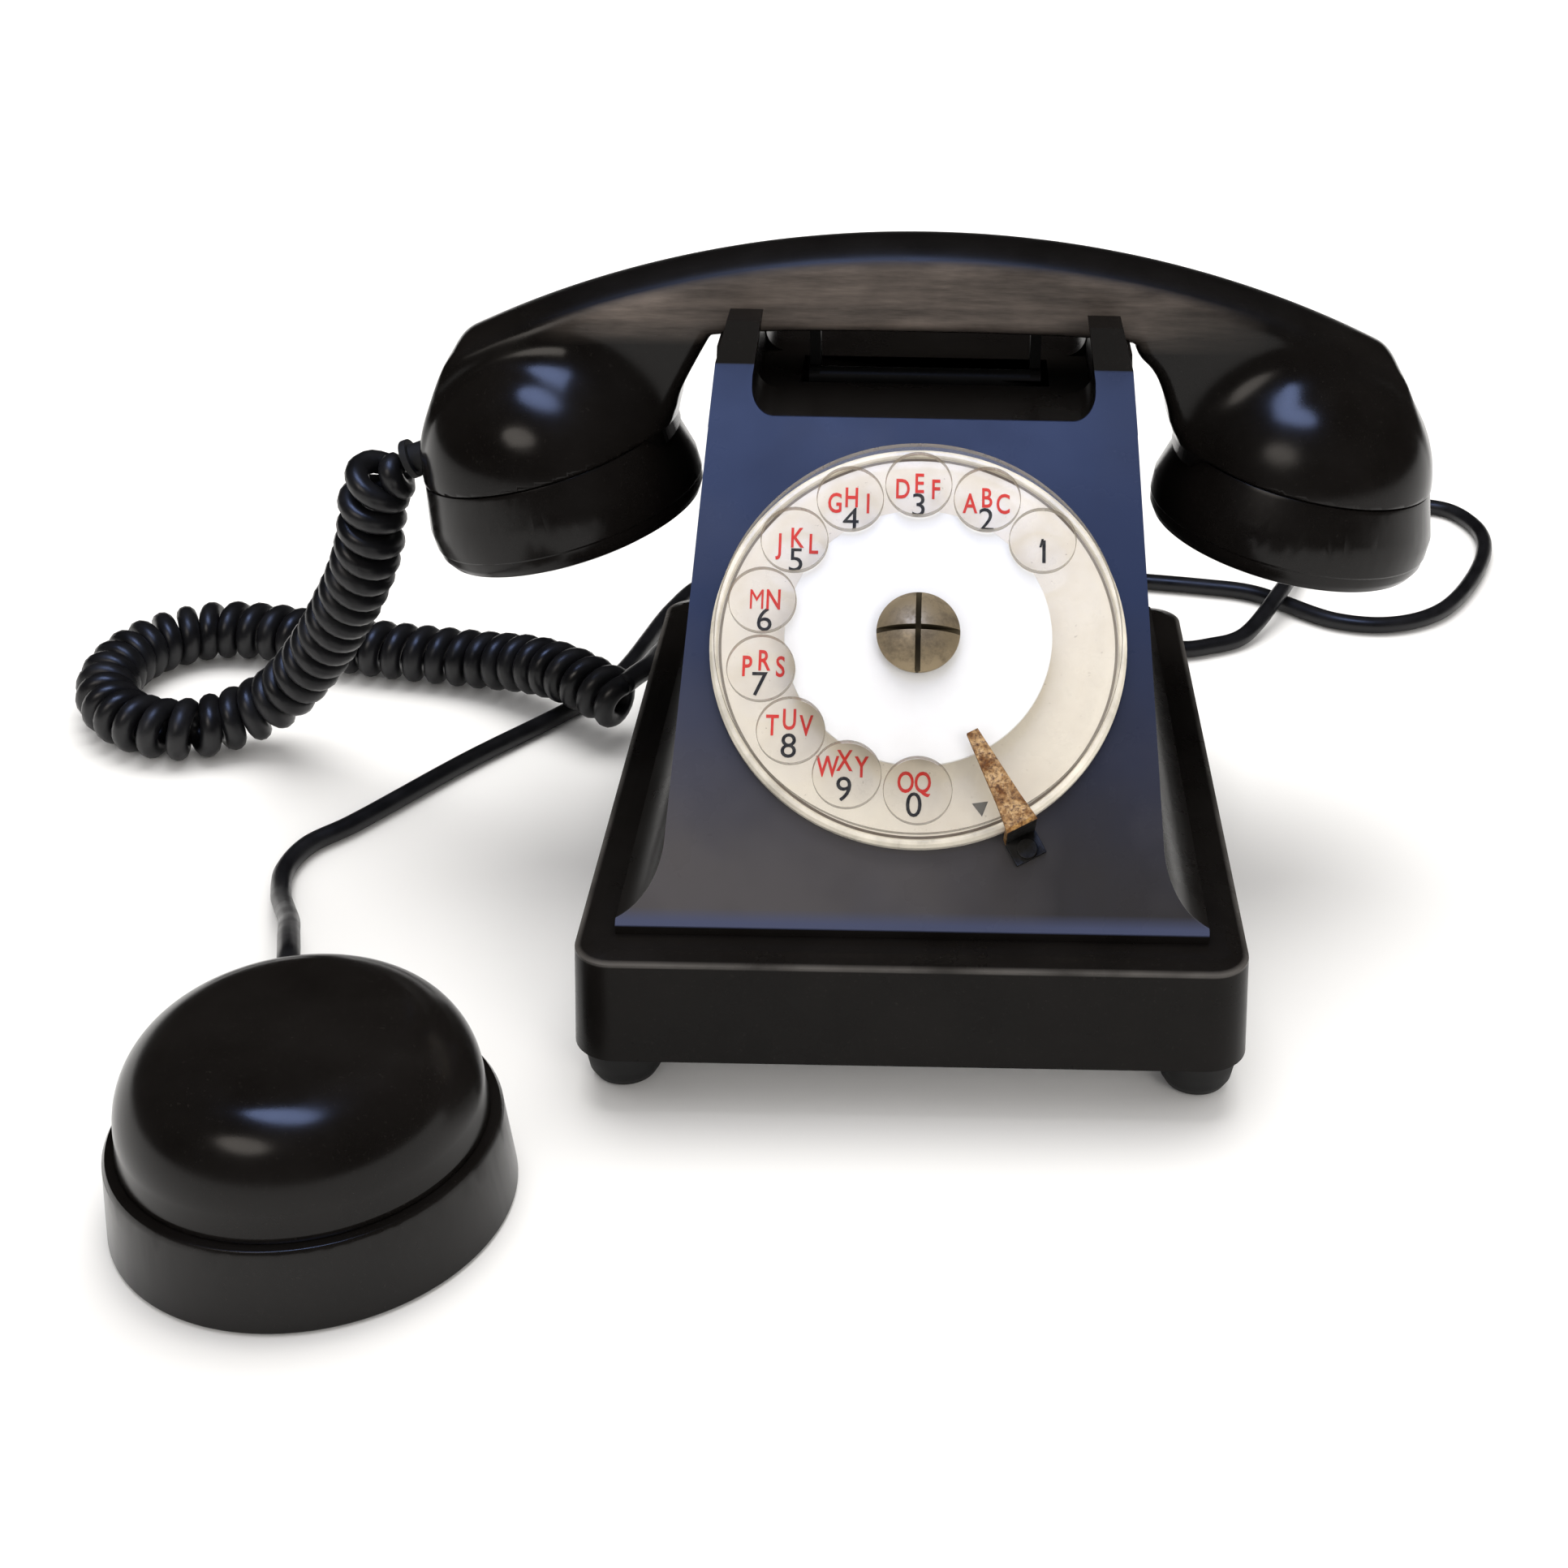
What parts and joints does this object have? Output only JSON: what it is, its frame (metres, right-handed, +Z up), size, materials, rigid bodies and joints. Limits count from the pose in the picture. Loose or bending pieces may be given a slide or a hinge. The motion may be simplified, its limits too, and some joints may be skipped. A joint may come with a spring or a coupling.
{
  "type": "rotary telephone",
  "caption": "Black desk telephone with a rotary dial, a cradle handset on a curly cord, a second listening earpiece and a coiled line cord with its plug.",
  "frame": {"origin": "on the desk, in the middle of the footprint of the telephone with its handset and second earpiece, cords left out", "axes": "+Z up, +X along the handset towards its earpiece end, -Y to the front where the dial faces"},
  "size_m": [0.4141, 0.3964, 0.15],
  "materials": {
    "black_shell": "polished black phenolic moulding with faint wear",
    "black_rubber": "matt black rubber",
    "cord_jacket": "satin black cord jacket",
    "zinc_steel": "zinc-plated sheet and turned steel",
    "bright_rim": "dull plated rim",
    "enamel_plate": "ivory enamel with printed characters",
    "clear_wheel": "clear moulded plastic, slightly yellowed",
    "white_disc": "white painted disc",
    "aged_nickel": "worn nickel with brown patina",
    "aged_brass": "tarnished brass with worn plating",
    "brass_parts": "machined brass",
    "contact_block": "brown insulating stack with contact springs",
    "coil_winding": "varnished winding",
    "capacitor_can": "grey painted can",
    "microphone_can": "plain aluminium"
  },
  "bodies": {
    "base": {"housing": "black_shell", "line_plug": "black_shell", "foot_front_left": "black_rubber", "foot_front_right": "black_rubber", "foot_rear_left": "black_rubber", "foot_rear_right": "black_rubber", "handset_cord_gland": "black_rubber", "listener_cord_gland": "black_rubber", "line_gland": "black_rubber", "curly_cord": "cord_jacket", "curly_tail": "cord_jacket", "listener_cord": "cord_jacket", "line_cord": "cord_jacket", "line_coil": "cord_jacket", "base_plate": "zinc_steel", "foot_screws": "zinc_steel", "base_screws": "zinc_steel", "dial_case": "zinc_steel", "return_spring": "zinc_steel", "governor_drum": "zinc_steel", "finger_stop_screw": "zinc_steel", "hook_bracket": "zinc_steel", "hook_pivot_pin": "zinc_steel", "gong_screws": "zinc_steel", "ringer_frame": "zinc_steel", "dial_bezel": "bright_rim", "number_plate": "enamel_plate", "finger_stop": "aged_brass", "gong_left": "brass_parts", "gong_right": "brass_parts", "terminal_screws": "brass_parts", "plug_pins": "brass_parts", "pulse_contacts": "contact_block", "hook_contacts": "contact_block", "terminal_block": "contact_block", "ringer_coils": "coil_winding", "induction_coil": "coil_winding", "capacitor": "capacitor_can"},
    "dial": {"finger_wheel": "clear_wheel", "wheel_disc": "white_disc", "center_screw": "aged_nickel", "dial_shaft": "zinc_steel", "drive_gear": "brass_parts", "pulse_cam": "zinc_steel"},
    "governor": {"governor_shaft": "zinc_steel", "governor_weights": "brass_parts"},
    "hook": {"hook_bar": "black_shell"},
    "clapper_arm": {"clapper": "zinc_steel"},
    "handset": {"handset_shell": "black_shell", "earpiece_cap": "black_shell", "mouthpiece_cap": "black_shell", "receiver_capsule": "zinc_steel", "microphone_capsule": "microphone_can", "handset_gland": "black_rubber"},
    "listener": {"listener_shell": "black_shell", "listener_cap": "black_shell", "listener_capsule": "zinc_steel", "listener_diaphragm": "zinc_steel", "listener_gland": "black_rubber"}
  },
  "joints": [
    {"name": "dial_turn", "type": "hinge", "parent": "base", "child": "dial", "pos_m": [0.0168, -0.00182, 0.08166], "axis": [0, 0.7193, -0.6947], "range_deg": [0, 318], "stiffness_Nm_per_rad": 0.008, "springref_deg": -85.94},
    {"name": "governor_spin", "type": "hinge", "parent": "base", "child": "governor", "pos_m": [0.0393, -0.00182, 0.08166], "axis": [0, 0.7193, -0.6947], "range_deg": [-1272, 0]},
    {"name": "handset_lift", "type": "slide", "parent": "base", "child": "handset", "axis": [0, 0, 1], "range_m": [0, 0.06]},
    {"name": "hook_rise", "type": "hinge", "parent": "base", "child": "hook", "pos_m": [0.0168, 0.049, 0.11], "axis": [1, 0, 0], "range_deg": [0, 14]},
    {"name": "clapper_swing", "type": "hinge", "parent": "base", "child": "clapper_arm", "pos_m": [0.0168, 0.059, 0.0245], "axis": [0, 0, 1], "range_deg": [-2, 2], "stiffness_Nm_per_rad": 0.002},
    {"name": "listener_lift", "type": "slide", "parent": "base", "child": "listener", "axis": [0, 0, 1], "range_m": [0, 0.05]}
  ],
  "couplings": [
    {"joint": "governor_spin", "follows": "dial_turn", "ratio": -4},
    {"joint": "hook_rise", "follows": "handset_lift", "rad_per_m": 4}
  ]
}
